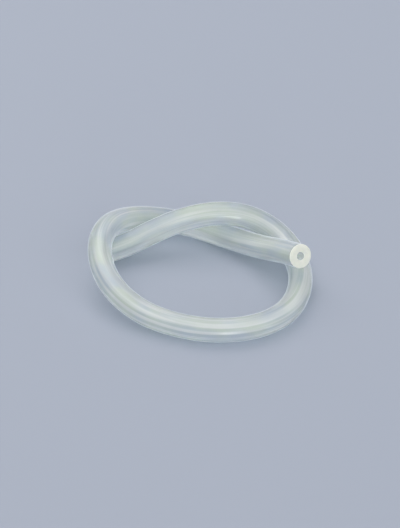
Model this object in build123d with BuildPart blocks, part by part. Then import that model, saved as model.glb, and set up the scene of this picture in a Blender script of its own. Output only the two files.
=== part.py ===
from build123d import *
import os
from math import pi, radians, tan

# A short length of soft silicone laboratory tubing, tied once in a loose overhand
# knot and lying on a bench. It is one extruded piece, hollow from end to end, with
# both ends cut square. All sizes are in millimetres. +Z is up, z = 0 is the bench,
# and the origin is on the bench under the middle of the knot.

# Driving dimensions
TUBE_DIAMETER = 4.8  # outside
BORE_DIAMETER = 1.6  # inside, open from end to end
LOOP_SPREAD = 1.0  # how far the loop lies open, where 1 is as tight as its strands allow
ARC_SHARE = 0.45  # share of the shorter run beside a corner that the corner's arc takes
ROUTE_DIAMETER = 4.8  # the outside diameter that the route below is laid for

# The route of the tube's middle line, from the end that lies on top of the ring's
# right side to the end that is tucked under its left side. The tube starts over the
# ring, dips under its own far strand, rounds the left side over its tucked end, lies
# on the bench along the front, passes under its first end, and comes back over
# itself. A strand on the bench is half a diameter up, and one that lies across
# another is a diameter and a thin gap above that.
ROUTE = [
    (19.7, -3.4, 9.5),
    (16.4, 2.3, 6.8),
    (12.0, 7.4, 4.2),
    (6.2, 13.2, 2.4),
    (-0.8, 17.5, 2.4),
    (-8.0, 18.6, 3.5),
    (-14.5, 15.6, 5.8),
    (-18.8, 9.3, 8.0),
    (-20.2, 0.9, 7.9),
    (-17.9, -7.1, 5.5),
    (-12.0, -13.1, 3.2),
    (-4.4, -16.8, 2.4),
    (3.7, -18.6, 2.4),
    (11.6, -17.0, 2.4),
    (17.4, -12.0, 2.4),
    (19.9, -4.3, 2.4),
    (19.8, 3.8, 2.4),
    (16.9, 10.7, 4.2),
    (10.8, 14.6, 6.6),
    (3.5, 14.6, 7.8),
    (-3.8, 12.9, 7.1),
    (-9.9, 11.2, 5.1),
    (-14.8, 9.5, 3.1),
    (-19.9, 7.8, 2.4),
]

# The strands rest on one another, so the whole lay grows with the tube.
lay = TUBE_DIAMETER / ROUTE_DIAMETER
points = [Vector(x * lay * LOOP_SPREAD, y * lay * LOOP_SPREAD, z * lay) for x, y, z in ROUTE]
runs = [end - start for start, end in zip(points, points[1:])]
turns = [before.get_angle(after) for before, after in zip(runs, runs[1:])]
shorter = [min(before.length, after.length) for before, after in zip(runs, runs[1:])]
radii = [
    ARC_SHARE * run / tan(radians(turn) / 2)
    for run, turn in zip(shorter, turns)
]

with BuildPart() as silicone_tube:
    with BuildLine() as middle_line:
        FilletPolyline(*points, radius=radii)
    with BuildSketch(Plane(origin=points[0], z_dir=runs[0])):
        Circle(TUBE_DIAMETER / 2)
        Circle(BORE_DIAMETER / 2, mode=Mode.SUBTRACT)
    sweep(path=middle_line.line)

silicone_tube.part.label = "silicone_tube"
os.makedirs("parts", exist_ok=True)
export_step(silicone_tube.part, "parts/silicone_tube.step")

wall_section = pi / 4 * (TUBE_DIAMETER**2 - BORE_DIAMETER**2)
length = sum(edge.length for edge in middle_line.edges())
box = silicone_tube.part.bounding_box()
print("tube length", round(length, 1), "mm")
print("bend radii in diameters", [round(radius / TUBE_DIAMETER, 1) for radius in radii])
print("volume", round(silicone_tube.part.volume, 1), "section by length", round(wall_section * length, 1))
print("box", box.min, box.max)
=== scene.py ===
"""A short length of milky silicone laboratory tubing, tied once in a loose knot, on a pale bench."""

import logging
import math
from dataclasses import dataclass, field
from enum import Enum

import bpy
import numpy as np
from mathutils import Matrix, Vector


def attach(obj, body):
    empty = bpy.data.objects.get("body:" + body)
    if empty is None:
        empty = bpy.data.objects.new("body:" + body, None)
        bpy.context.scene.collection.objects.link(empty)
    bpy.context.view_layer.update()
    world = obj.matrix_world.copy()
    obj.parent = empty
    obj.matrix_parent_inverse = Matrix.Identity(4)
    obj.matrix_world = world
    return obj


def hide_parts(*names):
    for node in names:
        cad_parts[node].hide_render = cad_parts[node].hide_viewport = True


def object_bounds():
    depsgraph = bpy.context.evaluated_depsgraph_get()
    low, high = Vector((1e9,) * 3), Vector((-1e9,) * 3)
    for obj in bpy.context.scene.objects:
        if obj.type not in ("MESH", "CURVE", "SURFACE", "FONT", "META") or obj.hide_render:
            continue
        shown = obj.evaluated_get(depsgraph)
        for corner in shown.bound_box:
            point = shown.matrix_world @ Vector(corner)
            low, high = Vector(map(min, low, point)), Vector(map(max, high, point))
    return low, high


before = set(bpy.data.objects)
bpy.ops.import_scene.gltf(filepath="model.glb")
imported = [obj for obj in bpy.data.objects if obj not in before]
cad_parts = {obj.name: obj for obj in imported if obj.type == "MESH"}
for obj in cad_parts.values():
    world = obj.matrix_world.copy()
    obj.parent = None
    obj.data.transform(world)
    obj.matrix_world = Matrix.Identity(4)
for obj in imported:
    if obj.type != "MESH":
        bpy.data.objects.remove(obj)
CAD_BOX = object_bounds()

log = logging.getLogger("silicone_tube")

BODY = "root"
NODE = "silicone_tube"

# The mesh attribute that holds where each point lies on the tube, and the name of the flat map that the skin
# is laid out on.
LAY = "lay"
FLAT_MAP = "OFBake"

REFRACTION = 1.41  # silicone rubber
SAME_PLACE = 1e-7  # points of the middle line that are nearer than this are one point

MM = 0.001

# The middle line of the tube in metres, from the end that lies on top of the ring's right side to
# the end that is tucked under its left side. These are the points that the tube's solid is built on.
ROUTE: list[tuple[float, float, float]] = [
    (0.0197, -0.0034, 0.0095),
    (0.0164, 0.0023, 0.0068),
    (0.0120, 0.0074, 0.0042),
    (0.0062, 0.0132, 0.0024),
    (-0.0008, 0.0175, 0.0024),
    (-0.0080, 0.0186, 0.0035),
    (-0.0145, 0.0156, 0.0058),
    (-0.0188, 0.0093, 0.0080),
    (-0.0202, 0.0009, 0.0079),
    (-0.0179, -0.0071, 0.0055),
    (-0.0120, -0.0131, 0.0032),
    (-0.0044, -0.0168, 0.0024),
    (0.0037, -0.0186, 0.0024),
    (0.0116, -0.0170, 0.0024),
    (0.0174, -0.0120, 0.0024),
    (0.0199, -0.0043, 0.0024),
    (0.0198, 0.0038, 0.0024),
    (0.0169, 0.0107, 0.0042),
    (0.0108, 0.0146, 0.0066),
    (0.0035, 0.0146, 0.0078),
    (-0.0038, 0.0129, 0.0071),
    (-0.0099, 0.0112, 0.0051),
    (-0.0148, 0.0095, 0.0031),
    (-0.0199, 0.0078, 0.0024),
]

Colour = tuple[float, float, float]


class Operation(Enum):
    """The sums that a Math node does here."""

    ADD = "ADD"
    SUBTRACT = "SUBTRACT"
    MULTIPLY = "MULTIPLY"


class Socket:
    """One output of a node, on which arithmetic adds Math nodes."""

    def __init__(self, tree: "NodeTree", output: bpy.types.NodeSocket) -> None:
        """Keeps the output and the tree that it belongs to.

        Args:
            tree: The tree that new nodes go into.
            output: The node's output socket.
        """
        self.tree = tree
        self.output = output

    def _math(self, operation: Operation, first: "Value", second: "Value") -> "Socket":
        """Adds one Math node.

        Args:
            operation: The sum to do.
            first: The left-hand value.
            second: The right-hand value.

        Returns:
            The result.
        """
        return self.tree.node("ShaderNodeMath", {"operation": operation.value}, {0: first, 1: second})

    def __add__(self, other: "Value") -> "Socket":
        """Returns self + other."""
        return self._math(Operation.ADD, self, other)

    def __radd__(self, other: "Value") -> "Socket":
        """Returns other + self."""
        return self._math(Operation.ADD, other, self)

    def __sub__(self, other: "Value") -> "Socket":
        """Returns self - other."""
        return self._math(Operation.SUBTRACT, self, other)

    def __rsub__(self, other: "Value") -> "Socket":
        """Returns other - self."""
        return self._math(Operation.SUBTRACT, other, self)

    def __mul__(self, other: "Value") -> "Socket":
        """Returns self * other."""
        return self._math(Operation.MULTIPLY, self, other)

    def __rmul__(self, other: "Value") -> "Socket":
        """Returns other * self."""
        return self._math(Operation.MULTIPLY, other, self)


Value = Socket | float


class NodeTree:
    """A material's or a world's nodes, built by name."""

    def __init__(self, owner: bpy.types.Material | bpy.types.World) -> None:
        """Empties the owner's tree.

        Args:
            owner: The material or world whose nodes are made.
        """
        owner.use_nodes = True
        self.tree = owner.node_tree
        self.tree.nodes.clear()

    def node(self, kind: str, settings: dict | None = None, inputs: dict | None = None,
             output: int | str = 0) -> Socket:
        """Adds a node of any type.

        Args:
            kind: The node's type, such as ShaderNodeTexNoise.
            settings: Its own properties, which are set first.
            inputs: The values or links of its sockets, by name or number.
            output: The output that is wanted.

        Returns:
            That output.
        """
        made = self.tree.nodes.new(kind)
        for name, value in (settings or {}).items():
            setattr(made, name, value)
        for name, value in (inputs or {}).items():
            if isinstance(value, Socket):
                self.tree.links.new(value.output, made.inputs[name])
            else:
                made.inputs[name].default_value = value
        return Socket(self, made.outputs[output]) if made.outputs else None

    def mix(self, factor: Value, first: Socket | Colour, second: Socket | Colour) -> Socket:
        """Joins two colours.

        Args:
            factor: How much of the second there is.
            first: The first colour.
            second: The second colour.

        Returns:
            The joined colour.
        """
        first, second = (c if isinstance(c, Socket) else (*c, 1.0) for c in (first, second))
        return self.node("ShaderNodeMix", {"data_type": "RGBA", "clamp_factor": True},
                         {0: factor, 6: first, 7: second}, output=2)

    def ramp(self, factor: Socket, low: float, high: float) -> Socket:
        """Stretches a value so that low becomes 0 and high becomes 1, with a smooth start and end.

        Args:
            factor: The value.
            low: What becomes 0.
            high: What becomes 1.

        Returns:
            The stretched value.
        """
        return self.node("ShaderNodeMapRange", {"interpolation_type": "SMOOTHSTEP"},
                         {"Value": factor, "From Min": low, "From Max": high})

    def attribute(self, name: str) -> Socket:
        """Reads a vector that the mesh holds.

        Args:
            name: The mesh attribute's name.

        Returns:
            The vector.
        """
        return self.node("ShaderNodeAttribute", {"attribute_name": name}, output="Vector")

    def noise(self, place: Socket, stretch: tuple[float, float, float], detail: float = 2.0,
              roughness: float = 0.5) -> Socket:
        """A soft random pattern.

        Args:
            place: Where on the piece.
            stretch: How many times finer the pattern is each way.
            detail: How many finer layers it has.
            roughness: How strong those are.

        Returns:
            A value from 0 to 1.
        """
        scaled = self.node("ShaderNodeVectorMath", {"operation": "MULTIPLY"}, {0: place, 1: stretch})
        return self.node("ShaderNodeTexNoise", {"noise_dimensions": "3D"},
                         {"Vector": scaled, "Scale": 1.0, "Detail": detail, "Roughness": roughness})

    def surface(self, shader: Socket) -> None:
        """Makes a shader the material's surface."""
        self.node("ShaderNodeOutputMaterial", None, {"Surface": shader})


@dataclass(frozen=True)
class SiliconeFinish:
    """Natural silicone rubber: milky, seen through a little, with a smooth and slightly glossy skin and a
    painted light rim along its edges.

    The mesh's "lay" attribute holds where each point lies on the tube: its place in the section,
    measured in outside radii, and its distance along the middle line in metres.
    """

    name: str = "silicone_rubber"
    green: Colour = (0.68, 0.74, 0.67)
    blue: Colour = (0.61, 0.67, 0.74)
    pale: Colour = (0.94, 0.955, 0.94)
    roughness: float = 0.16
    clearness: float = 0.62
    milkiness: float = 0.9
    scatter_depth: float = 0.9 * MM
    coat: float = 0.35
    coat_roughness: float = 0.07
    sheen_roughness: float = 0.25
    sheen_tint: Colour = (0.86, 0.92, 1.0)
    bump_strength: float = 0.5
    bump_depth: float = 0.06 * MM
    line_share: float = 0.7
    faintest_band: float = 0.4
    band_range: float = 0.5
    bore: Colour = (0.91, 0.93, 0.91)
    # The painted rim highlight: its colour, its largest share, and the facing at which it starts.
    rim: Colour = (0.90, 0.95, 1.0)
    rim_share: float = 0.75
    rim_start: float = 0.62
    lamp_light: Colour = (0.70, 0.73, 0.73)

    def material(self) -> bpy.types.Material:
        """Builds the material.

        Returns:
            The material.
        """
        made = bpy.data.materials.new(self.name)
        tree = NodeTree(made)
        lay = tree.attribute(LAY)
        # Cloudy patches a few diameters long, where the rubber tends to green or to blue.
        cloud = tree.ramp(tree.noise(lay, (0.6, 0.6, 160.0), 1.0), 0.35, 0.65)
        # Paler bands that run along the tube, left by the die, and stronger in some stretches.
        streak = tree.ramp(tree.noise(lay, (2.4, 2.4, 22.0), 2.0, 0.6), 0.40, 0.62)
        stretch = tree.ramp(tree.noise(lay, (0.5, 0.5, 70.0), 1.0), 0.35, 0.60)
        strength = stretch * self.band_range + self.faintest_band
        body = tree.mix(cloud, self.green, self.blue)
        banded = tree.mix(streak * strength, body, self.pale)
        # The bore's own wall is clean and colourless.
        across, up = (tree.node("ShaderNodeSeparateXYZ", None, {0: lay}, output=axis) for axis in "XY")
        colour = tree.mix(tree.ramp(across * across + up * up, 0.2, 0.8), self.bore, banded)
        lines = tree.noise(lay, (9.0, 9.0, 60.0), 3.0, 0.6)
        grain = tree.noise(lay, (14.0, 14.0, 5600.0), 2.0, 0.5)
        bump = tree.node("ShaderNodeBump", None,
                         {"Strength": self.bump_strength, "Distance": self.bump_depth,
                          "Height": lines * self.line_share + grain * (1 - self.line_share)})
        body_shader = tree.node("ShaderNodeBsdfPrincipled", None, {
            "Base Color": colour,
            "Roughness": self.roughness,
            "IOR": REFRACTION,
            "Transmission Weight": self.clearness,
            "Subsurface Weight": self.milkiness,
            "Subsurface Radius": (1.0, 1.0, 1.0),
            "Subsurface Scale": self.scatter_depth,
            "Coat Weight": self.coat,
            "Coat Roughness": self.coat_roughness,
            "Sheen Weight": 1.0,
            "Sheen Roughness": self.sheen_roughness,
            "Sheen Tint": (*self.sheen_tint, 1.0),
            "Normal": bump,
        })
        # Painted rim highlight: a pale diffuse shader is mixed in where the skin is seen edge-on, so that
        # the tube's outline reads light.
        facing = tree.node("ShaderNodeLayerWeight", None, {"Blend": 0.5}, output="Facing")
        edge = tree.ramp(facing, self.rim_start, 1.0)
        painted_rim_highlight = tree.node("ShaderNodeBsdfDiffuse", None, {"Color": (*self.rim, 1.0), "Normal": bump})
        rubber = tree.node("ShaderNodeMixShader", None, {0: edge * self.rim_share, 1: body_shader, 2: painted_rim_highlight})
        # Shadow rays pass each wall with a tint, so that the tube's shadow is a pale one.
        clear = tree.node("ShaderNodeBsdfTransparent", None, {"Color": (*self.lamp_light, 1.0)})
        shadow = tree.node("ShaderNodeLightPath", output="Is Shadow Ray")
        tree.surface(tree.node("ShaderNodeMixShader", None, {0: shadow, 1: rubber, 2: clear}))
        return made


@dataclass(frozen=True)
class CutFinish:
    """The knife-cut end face: the same rubber, matt and nearly white because it scatters the light."""

    name: str = "cut_silicone"
    colour: Colour = (0.88, 0.89, 0.79)
    grey: Colour = (0.76, 0.79, 0.72)
    roughness: float = 0.55
    milkiness: float = 0.6
    scatter_depth: float = 1.0 * MM
    bump_strength: float = 0.5
    bump_depth: float = 0.05 * MM
    grey_share: float = 0.5

    def material(self) -> bpy.types.Material:
        """Builds the material.

        Returns:
            The material.
        """
        made = bpy.data.materials.new(self.name)
        tree = NodeTree(made)
        lay = tree.attribute(LAY)
        cloud = tree.ramp(tree.noise(lay, (2.0, 2.0, 400.0), 2.0), 0.35, 0.70)
        # Fine scratches that the blade left, all one way across the face.
        scratches = tree.noise(lay, (3.0, 26.0, 400.0), 3.0, 0.6)
        bump = tree.node("ShaderNodeBump", None,
                         {"Strength": self.bump_strength, "Distance": self.bump_depth, "Height": scratches})
        tree.surface(tree.node("ShaderNodeBsdfPrincipled", None, {
            "Base Color": tree.mix(cloud * self.grey_share, self.colour, self.grey),
            "Roughness": self.roughness,
            "IOR": REFRACTION,
            "Subsurface Weight": self.milkiness,
            "Subsurface Radius": (1.0, 1.0, 0.9),
            "Subsurface Scale": self.scatter_depth,
            "Normal": bump,
        }))
        return made


@dataclass
class SiliconeTube:
    """The tube: an outer wall and a bore along one middle line, joined by a square-cut face at each end."""

    diameter: float = 4.8 * MM
    bore_diameter: float = 1.6 * MM
    lip_round: float = 0.12 * MM
    around: int = 56
    lip_steps: int = 3
    points_per_run: int = 14
    strips: int = 3
    map_gap: float = 0.0125
    wall: SiliconeFinish = field(default_factory=SiliconeFinish)
    end_face: CutFinish = field(default_factory=CutFinish)

    def middle_line(self) -> np.ndarray:
        """Lays a smooth spline on the route and reads points back from it.

        Returns:
            The points, one row each, in metres.
        """
        data = bpy.data.curves.new("middle_line", "CURVE")
        data.dimensions = "3D"
        spline = data.splines.new("NURBS")
        spline.points.add(len(ROUTE) - 1)
        for point, place in zip(spline.points, ROUTE):
            point.co = (*place, 1.0)
        spline.order_u = 3
        spline.use_endpoint_u = True
        spline.resolution_u = self.points_per_run
        holder = bpy.data.objects.new("middle_line", data)
        bpy.context.scene.collection.objects.link(holder)
        bpy.context.view_layer.update()
        line = bpy.data.meshes.new_from_object(holder)
        points = np.array([v.co for v in line.vertices])
        bpy.data.objects.remove(holder)
        bpy.data.meshes.remove(line)
        steps = np.linalg.norm(np.diff(points, axis=0), axis=1)
        return points[np.r_[True, steps > SAME_PLACE]]

    @staticmethod
    def frames(points: np.ndarray) -> tuple[np.ndarray, np.ndarray, np.ndarray]:
        """Carries a pair of side directions along the line without twisting it.

        Args:
            points: The middle line.

        Returns:
            The line's direction and two side directions at each point.
        """
        along = np.gradient(points, axis=0)
        along /= np.linalg.norm(along, axis=1)[:, None]
        side = np.cross((0.0, 0.0, 1.0), along[0])
        sides = []
        for direction in along:
            side = side - direction * (side @ direction)
            side = side / np.linalg.norm(side)
            sides.append(side)
        first = np.array(sides)
        return along, first, np.cross(along, first)

    def lip(self, radius: float, outwards: bool) -> list[tuple[float, float]]:
        """The rounded edge between a wall and the cut face, as (how far short of the face, radius).

        Args:
            radius: The wall's radius.
            outwards: Whether the wall is the outer one.

        Returns:
            The steps, from the wall to the face.
        """
        turn = -1 if outwards else 1
        steps = []
        for i in range(1, self.lip_steps + 1):
            angle = math.pi / 2 * i / self.lip_steps
            short = self.lip_round * (1 - math.sin(angle))
            steps.append((short, radius + turn * self.lip_round * (1 - math.cos(angle))))
        return steps

    def rings(self, length: float, stations: np.ndarray) -> list[tuple[float, float, bool]]:
        """The rings of points that the skin is stretched over, once round the wall's section.

        Args:
            length: The tube's length.
            stations: The distances along the middle line.

        Returns:
            Each ring's distance along the tube, its radius, and whether it lies on a cut end.
        """
        outer, bore = self.diameter / 2, self.bore_diameter / 2
        inside = stations[(stations > self.lip_round) & (stations < length - self.lip_round)]
        wall = [self.lip_round, *inside, length - self.lip_round]
        outer_lip, bore_lip = self.lip(outer, True), self.lip(bore, False)
        rings = [(s, outer, False) for s in wall]
        rings += [(length - short, r, True) for short, r in outer_lip]
        rings += [(length, (outer + bore) / 2, True)]
        rings += [(length - short, r, True) for short, r in reversed(bore_lip)]
        rings += [(s, bore, False) for s in reversed(wall)]
        rings += [(short, r, True) for short, r in bore_lip]
        rings += [(0.0, (outer + bore) / 2, True)]
        rings += [(short, r, True) for short, r in reversed(outer_lip)]
        return rings

    def flat_scale(self) -> float:
        """Returns the map's size for each metre of skin, with all the strips stacked in its height."""
        gaps = (2 * self.strips + 1) * self.map_gap
        return (1 - gaps) / (self.strips * math.pi * (self.diameter + self.bore_diameter))

    def on_disc(self, distance: float, radius: float, turn: float, length: float,
                near_start: bool) -> tuple[float, float]:
        """Where a point of a cut end lies on the flat map.

        Args:
            distance: The point's distance along the tube.
            radius: Its distance from the middle line.
            turn: How far round the tube it is, in radians.
            length: The tube's length.
            near_start: Whether it is on the end where the tube starts.

        Returns:
            The place on the map.
        """
        scale = self.flat_scale()
        middle = (self.diameter + self.bore_diameter) / 4
        disc = self.map_gap + (self.diameter / 2 + self.lip_round) * scale
        short = min(distance, length - distance)
        reach = (radius + (short if radius > middle else -short)) * scale
        up = disc if near_start else 3 * disc
        return 1 - disc + reach * math.cos(turn), up + reach * math.sin(turn)

    def on_strip(self, distance: float, radius: float, turn: float, strip: int, run: float,
                 outside: bool) -> tuple[float, float]:
        """Where a point of a wall lies on the flat map.

        Args:
            distance: The point's distance along the tube.
            radius: The wall's radius there.
            turn: How far round the tube it is, in radians.
            strip: Which strip it is on.
            run: The length of tube on one strip.
            outside: Whether the wall is the outer one.

        Returns:
            The place on the map.
        """
        scale = self.flat_scale()
        both = math.pi * (self.diameter + self.bore_diameter) * scale + 2 * self.map_gap
        base = self.map_gap + strip * both
        if not outside:
            base += math.pi * self.diameter * scale + self.map_gap
        return self.map_gap + (distance - strip * run) * scale, base + turn * radius * scale

    def unwrap(self, mesh: bpy.types.Mesh, rings: list[tuple[float, float, bool]], on_cut: list[bool],
               length: float) -> None:
        """Lays the skin out flat, for whoever paints it: long strips of wall, and a disc for each end.

        The strips are cut along the underside of the tube.

        Args:
            mesh: The tube's mesh, whose faces go ring by ring.
            rings: Each ring's distance along the tube, its radius, and whether it lies on a cut end.
            on_cut: For each ring, whether the faces after it lie on a cut end.
            length: The tube's length.
        """
        run = length / self.strips
        places = []
        for i, cut in enumerate(on_cut):
            (s0, r0, _), (s1, r1, _) = rings[i], rings[(i + 1) % len(rings)]
            halfway = (s0 + s1) / 2
            strip = min(int(halfway / run), self.strips - 1)
            outside = r0 + r1 > (self.diameter + self.bore_diameter) / 2
            for j in range(self.around):
                for s, radius, step in ((s0, r0, j), (s0, r0, j + 1), (s1, r1, j + 1), (s1, r1, j)):
                    turn = step / self.around * 2 * math.pi
                    if cut:
                        places.append(self.on_disc(s, radius, turn, length, halfway < length / 2))
                    else:
                        places.append(self.on_strip(s, radius, turn, strip, run, outside))
        mesh.uv_layers.new(name=FLAT_MAP).data.foreach_set("uv", np.ravel(places))

    def build(self) -> bpy.types.Object:
        """Returns:
            The piece.
        """
        points = self.middle_line()
        along, first, second = self.frames(points)
        stations = np.r_[0.0, np.cumsum(np.linalg.norm(np.diff(points, axis=0), axis=1))]
        length = float(stations[-1])
        angles = np.arange(self.around) * 2 * math.pi / self.around - math.pi / 2
        rings = self.rings(length, stations)
        places, lays = [], []
        for s, radius, _ in rings:
            at, u, v = (np.array([np.interp(s, stations, line[:, k]) for k in range(3)])
                        for line in (points, first, second))
            u, v = u / np.linalg.norm(u), v / np.linalg.norm(v)
            for angle in angles:
                out = math.cos(angle) * u + math.sin(angle) * v
                places.append(at + radius * out)
                share = radius / (self.diameter / 2)
                lays.append((math.cos(angle) * share, math.sin(angle) * share, s))
        count, n = len(rings), self.around
        faces = [(i * n + j, i * n + (j + 1) % n, (i + 1) % count * n + (j + 1) % n, (i + 1) % count * n + j)
                 for i in range(count) for j in range(n)]
        mesh = bpy.data.meshes.new("tube")
        mesh.from_pydata(places, [], faces)
        mesh.attributes.new(LAY, "FLOAT_VECTOR", "POINT").data.foreach_set("vector", np.ravel(lays))
        mesh.materials.append(self.wall.material())
        mesh.materials.append(self.end_face.material())
        on_cut = [rings[i][2] or rings[(i + 1) % count][2] for i in range(count)]
        mesh.polygons.foreach_set("material_index", np.repeat(on_cut, n).astype(np.int32))
        self.unwrap(mesh, rings, on_cut, length)
        mesh.shade_smooth()
        mesh.validate()
        piece = bpy.data.objects.new("tube", mesh)
        bpy.context.scene.collection.objects.link(piece)
        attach(piece, BODY)
        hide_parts(NODE)
        log.info("tube: %.1f mm long, %d faces", length / MM, len(faces))
        return piece


@dataclass(frozen=True)
class BenchFinish:
    """A plain, pale, matt bench top."""

    name: str = "pale_bench"
    colour: Colour = (0.42, 0.46, 0.55)
    roughness: float = 0.7

    def material(self) -> bpy.types.Material:
        """Builds the material.

        Returns:
            The material.
        """
        made = bpy.data.materials.new(self.name)
        tree = NodeTree(made)
        tree.surface(tree.node("ShaderNodeBsdfPrincipled", None, {
            "Base Color": (*self.colour, 1.0),
            "Roughness": self.roughness,
        }))
        return made


@dataclass(frozen=True)
class Lamp:
    """A square soft lamp that faces the tube, placed from the tube's middle."""

    name: str
    place: tuple[float, float, float]
    size: float
    power: float
    colour: Colour


LAMPS = (
    Lamp("key", (-0.20, 0.30, 0.75), 0.9, 5.0, (1.0, 0.99, 0.97)),
    Lamp("fill", (0.45, -0.55, 0.50), 0.8, 2.0, (1.0, 0.99, 0.97)),
    Lamp("low", (0.10, -0.80, 0.06), 0.16, 1.0, (1.0, 1.0, 0.98)),
)


@dataclass
class Studio:
    """The bench, the lamps, the world and the camera."""

    elevation: float = 35.0
    distance: float = 0.581
    lens: float = 200.0
    aim: tuple[float, float, float] = (0.0, 0.002, -0.002)
    bench_size: float = 6.0
    world_colour: Colour = (0.84, 0.87, 0.92)
    overhead: float = 0.35
    horizon: float = 0.9
    dimmest_from: float = 0.6
    nearest: float = 0.01
    bench: BenchFinish = field(default_factory=BenchFinish)

    def centre(self) -> Vector:
        """Returns the middle of the tube's box."""
        low, high = CAD_BOX
        return (low + high) / 2

    def camera(self) -> bpy.types.Object:
        """Makes the camera, which looks down on the tube from the front.

        Returns:
            The camera.
        """
        tilt = math.radians(self.elevation)
        back = Vector((0.0, -math.cos(tilt), math.sin(tilt)))
        made = bpy.data.objects.new("camera", bpy.data.cameras.new("camera"))
        made.data.lens = self.lens
        made.data.clip_start = self.nearest
        made.location = self.centre() + Vector(self.aim) + back * self.distance
        made.rotation_euler = (-back).to_track_quat("-Z", "Y").to_euler()
        bpy.context.scene.collection.objects.link(made)
        bpy.context.scene.camera = made
        return made

    def floor(self) -> bpy.types.Object:
        """Makes the bench top under the tube.

        Returns:
            The bench top.
        """
        half, level = self.bench_size / 2, CAD_BOX[0].z
        mesh = bpy.data.meshes.new("bench")
        corners = [(-half, -half, level), (half, -half, level), (half, half, level), (-half, half, level)]
        mesh.from_pydata(corners, [], [(0, 1, 2, 3)])
        mesh.materials.append(self.bench.material())
        made = bpy.data.objects.new("bench", mesh)
        bpy.context.scene.collection.objects.link(made)
        return made

    def light(self, lamp: Lamp) -> bpy.types.Object:
        """Makes one lamp.

        Args:
            lamp: What it is and where it stands.

        Returns:
            The lamp.
        """
        data = bpy.data.lights.new(lamp.name, "AREA")
        data.size = lamp.size
        data.energy = lamp.power
        data.color = lamp.colour
        made = bpy.data.objects.new(lamp.name, data)
        made.location = self.centre() + Vector(lamp.place)
        made.rotation_euler = (-Vector(lamp.place)).to_track_quat("-Z", "Y").to_euler()
        bpy.context.scene.collection.objects.link(made)
        return made

    def world(self) -> None:
        """Lights everything from all round, more from the sides than from overhead."""
        made = bpy.data.worlds.new("studio")
        bpy.context.scene.world = made
        tree = NodeTree(made)
        direction = tree.node("ShaderNodeTexCoord", output="Generated")
        height = tree.node("ShaderNodeSeparateXYZ", None, {0: direction}, output="Z")
        strength = self.horizon - tree.ramp(height, 0.0, self.dimmest_from) * (self.horizon - self.overhead)
        sky = tree.node("ShaderNodeBackground", None,
                        {"Color": (*self.world_colour, 1.0), "Strength": strength})
        tree.node("ShaderNodeOutputWorld", None, {"Surface": sky})

    def build(self) -> None:
        """Makes everything around the tube."""
        self.floor()
        for lamp in LAMPS:
            self.light(lamp)
        self.world()
        bpy.context.scene.view_settings.view_transform = "Standard"
        log.info("studio: bench, %d lamps, world", len(LAMPS))


def main() -> None:
    """Builds the camera, the tube and the studio."""
    logging.basicConfig(level=logging.INFO, format="%(message)s")
    studio = Studio()
    studio.camera()
    SiliconeTube().build()
    studio.build()


if __name__ == "__main__":
    main()
